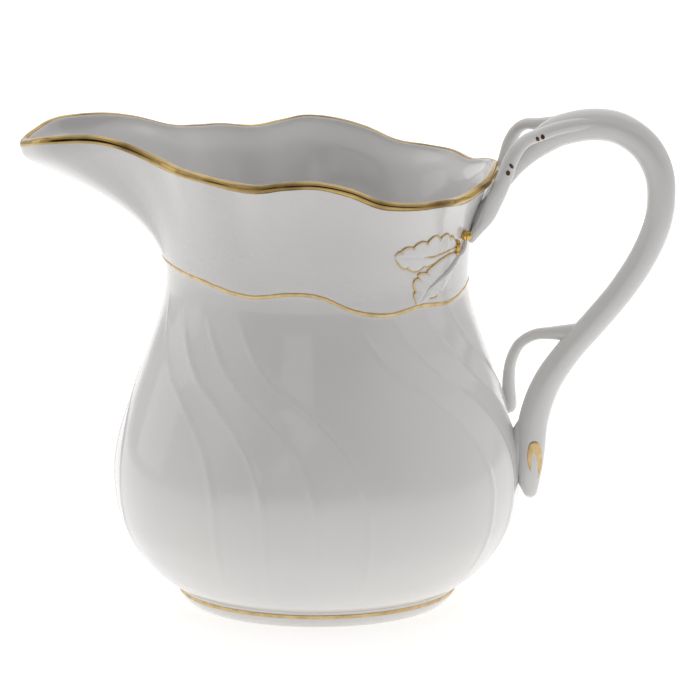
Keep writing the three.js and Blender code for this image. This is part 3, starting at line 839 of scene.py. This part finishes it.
LEAF_ROWS = 150
along = np.linspace(0.004, 0.996, LEAF_ROWS)
across = np.sin(np.linspace(-math.pi / 2, math.pi / 2, 45))
for where, side in (("near", -1), ("far", 1)):
    for which, plan in leaf_plans.items():
        place, distance = on_leaf(plan, along[:, None], across[None, :])
        front = off_wall(side * place[..., 0], place[..., 1], distance)
        under = place[:, -2:0:-6]
        back = off_wall(side * under[..., 0], under[..., 1], np.full(under.shape[:2], LEAF_BACK))
        rows = np.concatenate([front, back], axis=1)
        name = f"pressed_leaf_{which}_{where}"
        leaf = new_piece(name, capped_mesh(name, rows), glaze)
        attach(leaf, "root")
        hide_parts(f"leaf_{which}_{where}")

# Leaf stalks
# A thin thread of slip runs from the root of each fork between the buds and becomes the raised
# midrib of the lower leaf.
stalk_places = np.array([
    # degrees from the handle, height and distance off the wall
    (17.6, 70.6, 0.05), (18.4, 69.0, 0.25), (20.2, 67.9, 0.35), (23.2, 67.3, 0.30),
    (26.3, 66.2, 0.42), (30.0, 65.0, 0.48), (35.0, 63.9, 0.50), (39.0, 63.0, 0.42),
    (42.0, 62.1, 0.30)])
stalk_radii = np.array([(0, 0.30), (0.12, 0.50), (0.3, 0.48), (0.55, 0.50), (0.8, 0.30), (1, 0.12)])
for where, side in (("near", -1), ("far", 1)):
    path = off_wall(side * stalk_places[:, 0], stalk_places[:, 1], stalk_places[:, 2])
    twig(f"slip_stalk_{where}", path, stalk_radii, 90, 12.0 + side, f"leaf_stalk_{where}")

# Buds
# Two gilded buds sit at the root of each fork: a round one with pinched flutes and a longer drop
# that ends in a small gold tip. They are rolled, pinched with a tool and stuck on with slip.
bud_plans = {
    # degrees from the handle, height, radius, half length, flutes, flute depth
    "round": (21.4, 71.3, 1.06, 0.95, 9, 0.20),
    "long": (25.9, 69.7, 0.66, 1.10, 6, 0.18),
}
# the long bud's tip in the same terms
BUD_TIP = (24.6, 68.1, 0.34, 0.45, 3, 0.05)
BUD_SEAT, TIP_SEAT = 0.6, 0.9
BUD_ROWS, BUD_SIDES = 36, 84


def bud_rows(angle, height, radius, half_length, flutes, depth, seat):
    """Rings of a pinched bud that lies on the wall, from its upper end to its lower end."""
    centre = off_wall(angle, height, radius * seat)
    out = wall_normal(angle, height)
    aside = np.cross(out, [0, 0, -1])
    aside /= np.linalg.norm(aside)
    down = np.array([0, 0, -1.0])
    out = np.cross(down, aside)
    polar = np.linspace(0.06, math.pi - 0.06, BUD_ROWS)[:, None]
    turn = np.linspace(0, 2 * math.pi, BUD_SIDES, endpoint=False)[None, :]
    pinch = 1 - depth * (0.5 + 0.5 * np.cos(flutes * turn)) ** 2 * np.sin(polar)
    wide = radius * np.sin(polar) ** 0.85 * pinch
    length = -half_length * np.cos(polar) * np.ones_like(turn)
    return (centre + length[..., None] * down + (wide * np.cos(turn))[..., None] * aside
            + (wide * np.sin(turn))[..., None] * out)


bud_gold = gold_material("bud_gold", (0.78, 0.53, 0.17), (0.45, 0.27, 0.07), 0.16, 0.34)
for where, side in (("near", -1), ("far", 1)):
    for which, (angle, *shape) in bud_plans.items():
        name = f"gilt_bud_{which}_{where}"
        rows = bud_rows(side * angle, *shape, BUD_SEAT)
        bud = new_piece(name, capped_mesh(name, rows), bud_gold)
        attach(bud, "root")
        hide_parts(f"bud_{which}_{where}")
    angle, *shape = BUD_TIP
    name = f"gilt_bud_tip_{where}"
    bud_tip = new_piece(name, capped_mesh(name, bud_rows(side * angle, *shape, TIP_SEAT)), bud_gold)
    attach(bud_tip, "root")

# Leaf gilding
# The painter draws the leaves' toothed edges and the upper leaf's midrib with a fine brush
# charged with gold. The line swells and thins as the brush is pressed and lifted.
LINE_INPUTS = {"Sides": 12, "Unevenness": 0.9, "Knot spacing": 900.0, "Knot seed": 5.0}
line_tree = rod_tree("brush_line", LINE_INPUTS, line_gold)
LINE_RADIUS = 0.19
# leaf, share across, from, to: a share of 1 is the upper edge, -1 the lower edge, 0 the midrib
brush_lines = [
    ("upper", 1, 0.10, 0.995), ("upper", -1, 0.995, 0.42), ("upper", 0, 0.05, 0.62),
    ("lower", 1, 0.06, 0.995), ("lower", -1, 0.80, 0.66)]
for where, side in (("near", -1), ("far", 1)):
    traces = []
    for which, across_share, start, end in brush_lines:
        t = np.linspace(start, end, 220 if across_share else 90)
        place, distance = on_leaf(leaf_plans[which], t, across_share * LEAF_LINE_SHARE)
        points = off_wall(side * place[:, 0], place[:, 1], distance)
        share = np.linspace(0, 1, len(t))
        radii = LINE_RADIUS * np.minimum(1, 6 * np.minimum(share, 1 - share) + 0.25)
        traces.append((points, radii))
    name = f"leaf_gilding_{where}"
    lines = grow(path_curve(name, traces), line_tree, {**LINE_INPUTS, "Knot seed": 20.0 + side})
    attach(lines, "root")

# Tail gilding
# A crescent of the same gold is painted on the near face of the handle's tail, thick over its
# crown and drawn out to a point down each leg.
stem_skin = BVHTree.FromObject(twig_stem, bpy.context.evaluated_depsgraph_get())
# share, x and z of the stroke's middle, and its half width
tail_stroke = np.array([
    (0.00, 39.70, 24.9, 0.03), (0.15, 39.50, 26.5, 0.38), (0.30, 39.55, 28.2, 0.55),
    (0.42, 39.90, 29.2, 0.82), (0.50, 40.35, 29.7, 1.15), (0.58, 40.80, 29.2, 0.82),
    (0.70, 41.20, 28.0, 0.55), (0.85, 41.38, 26.0, 0.42), (1.00, 41.10, 23.4, 0.03)])
# the films are laid on from this far in front; their edges and backs lie under the glaze
IN_FRONT = -12.0
FILM_EDGE, STROKE_BACK = 0.04, -0.25


def film_on(skin, middle, half_width, domed):
    """Rows across a gold film that lies on a skin's near side, along a stroke seen from there."""
    step = np.gradient(middle, axis=0)
    step /= np.linalg.norm(step, axis=1, keepdims=True)
    aside = np.stack([-step[:, 1], step[:, 0]], -1)
    rows = []
    for (x, z), (dx, dz), half in zip(middle, aside, half_width):
        row, back = [], []
        for a in np.linspace(-1, 1, 15):
            px, pz = x + a * half * dx, z + a * half * dz
            start = Vector(to_metres((px, IN_FRONT, pz)))
            hit, normal, _, _ = skin.ray_cast(start, Vector((0, 1, 0)))
            hit = np.array(hit) / MM - [axis_x / MM, 0, 0]
            lift = domed * (1 - a**6) - FILM_EDGE
            row.append(hit + np.array(normal) * lift)
            back.append(hit + np.array(normal) * STROKE_BACK)
        rows.append(row + back[-4:3:-4])
    return np.array(rows)


share = np.linspace(0, 1, 110)
stroke_middle = np.stack([through(tail_stroke, share, 1), through(tail_stroke, share, 2)], -1)
rows = film_on(stem_skin, stroke_middle, through(tail_stroke, share, 3), 0.11)
tail_gold = new_piece("tail_gold", capped_mesh("tail_gold", rows), line_gold)
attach(tail_gold, "root")
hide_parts("tail_gilding")

# Bark scars
# Two pairs of small nicks in the near fork's bark, touched with gold whose colour is painted
# near-black, a painted dark reflection. Each is a small domed spot on the bark.
fork_skin = BVHTree.FromObject(forks["near"], bpy.context.evaluated_depsgraph_get())
# x and z of a scar's middle, half length, half width, lean from upright in degrees
scar_plans = [
    (35.55, 82.75, 0.50, 0.42, 10), (36.15, 84.0, 0.55, 0.30, 35),
    (40.80, 88.35, 0.50, 0.32, 25), (41.70, 88.60, 0.50, 0.38, 20)]
# the scar gold is painted near-black: a painted dark reflection of the dim room, not the gold's own
# colour
painted_dark_scar_gilt = gold_material("scar_gilt_painted_dark_reflection", (0.11, 0.065, 0.03), (0.025, 0.016, 0.01), 0.30, 0.5)
for index, (x, z, half_length, half_width, lean) in enumerate(scar_plans, 1):
    t = np.linspace(-1, 1, 24)
    tilt = math.radians(lean)
    middle = np.stack([x - half_length * t * math.sin(tilt), z + half_length * t * math.cos(tilt)], -1)
    half = half_width * np.sqrt(np.clip(1 - t * t, 0.002, 1)) * (1 - 0.15 * t)
    name = f"bark_scar_{index}"
    scar = new_piece(name, capped_mesh(name, film_on(fork_skin, middle, half, 0.14)), painted_dark_scar_gilt)
    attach(scar, "root")
    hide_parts(f"branch_scar_{index}")

# Studio
# The jug stands on a plain white table under large soft panels, and the camera looks slightly
# down at its side with the spout to the left.
FLOOR = 5.0
floor_mesh = bpy.data.meshes.new("table_top")
floor_mesh.from_pydata(
    [(-FLOOR, -FLOOR, 0), (FLOOR, -FLOOR, 0), (FLOOR, FLOOR, 0), (-FLOOR, FLOOR, 0)],
    [], [(0, 1, 2, 3)])
table_top = bpy.data.objects.new("table_top", floor_mesh)
bpy.context.scene.collection.objects.link(table_top)
table_paint = bpy.data.materials.new("table_white")
table_paint.use_nodes = True
table_shader = table_paint.node_tree.nodes["Principled BSDF"]
table_shader.inputs["Base Color"].default_value = (0.74, 0.74, 0.74, 1)
table_shader.inputs["Roughness"].default_value = 0.8
table_shader.inputs["Emission Color"].default_value = (1.0, 0.985, 0.97, 1)


def soft_oval(tree, coordinates, location, scale, limits):
    """A strength that changes smoothly from the inside of an oval to the outside."""
    place = tree.nodes.new("ShaderNodeTexCoord")
    oval = tree.nodes.new("ShaderNodeMapping")
    oval.inputs["Location"].default_value = location
    oval.inputs["Scale"].default_value = scale
    tree.links.new(place.outputs[coordinates], oval.inputs["Vector"])
    reach = tree.nodes.new("ShaderNodeVectorMath")
    reach.operation = "LENGTH"
    tree.links.new(oval.outputs[0], reach.inputs[0])
    strength = tree.nodes.new("ShaderNodeMapRange")
    strength.interpolation_type = "SMOOTHSTEP"
    for label, value in zip(("From Min", "From Max", "To Min", "To Max"), limits):
        strength.inputs[label].default_value = value
    tree.links.new(reach.outputs["Value"], strength.inputs["Value"])
    return strength.outputs["Result"]


# the table glows in a soft oval that reaches a little in front of the jug
glow = soft_oval(
    table_paint.node_tree, "Object", (0, -0.70, 0), (3.4, 2.3, 1), (0.75, 1.6, 0.56, 0.12))
table_paint.node_tree.links.new(glow, table_shader.inputs["Emission Strength"])
floor_mesh.materials.append(table_paint)

world = bpy.data.worlds.new("studio_air")
bpy.context.scene.world = world
world.use_nodes = True
# the room is bright all round but for a low wide zone in front, which the gold and glaze mirror
air = world.node_tree.nodes["Background"]
air.inputs["Color"].default_value = (1.0, 0.985, 0.985, 1)
dim_in_front = soft_oval(
    world.node_tree, "Generated", (0, 0.95, -0.12), (0.75, 1.0, 1.6), (0.55, 0.95, 0.02, 0.62))
world.node_tree.links.new(dim_in_front, air.inputs["Strength"])


def soft_panel(name, place, aim, width, height, power):
    data = bpy.data.lights.new(name, "AREA")
    data.shape = "RECTANGLE"
    data.size = width
    data.size_y = height
    data.energy = power
    panel = bpy.data.objects.new(name, data)
    panel.location = place
    panel.rotation_euler = (Vector(aim) - Vector(place)).to_track_quat("-Z", "Y").to_euler()
    bpy.context.scene.collection.objects.link(panel)


# place, aim, width, height and power of each panel
soft_panel("panel_above", (0.0, 0.45, 0.9), (0, 0.25, 0), 1.3, 1.1, 2.2)
soft_panel("panel_left", (-0.75, 0.25, 0.3), (0, 0, 0.05), 0.45, 0.6, 0.35)
soft_panel("panel_right", (0.75, 0.3, 0.3), (0, 0, 0.05), 0.45, 0.6, 0.15)
soft_panel("panel_front", (-0.25, -1.3, 0.55), (0, 0, 0.05), 0.5, 0.3, 0.25)
soft_panel("panel_behind", (0.0, 1.2, 0.45), (0, 0, 0.05), 1.6, 0.7, 1.4)

AZIMUTH, ELEVATION, DISTANCE = math.radians(3.0), math.radians(12.4), 1.5
PICTURE_WIDTH = 0.1295
target = Vector((axis_x + 0.0061, 0, 0.047))
towards = Vector((math.sin(AZIMUTH) * math.cos(ELEVATION), -math.cos(AZIMUTH) * math.cos(ELEVATION),
                  math.sin(ELEVATION)))
camera_data = bpy.data.cameras.new("camera")
camera_data.sensor_width = 36
camera_data.lens = 36 * DISTANCE / PICTURE_WIDTH
camera = bpy.data.objects.new("camera", camera_data)
camera.location = target + towards * DISTANCE
camera.rotation_euler = (-towards).to_track_quat("-Z", "Y").to_euler()
bpy.context.scene.collection.objects.link(camera)
bpy.context.scene.camera = camera
bpy.context.scene.view_settings.view_transform = "Standard"
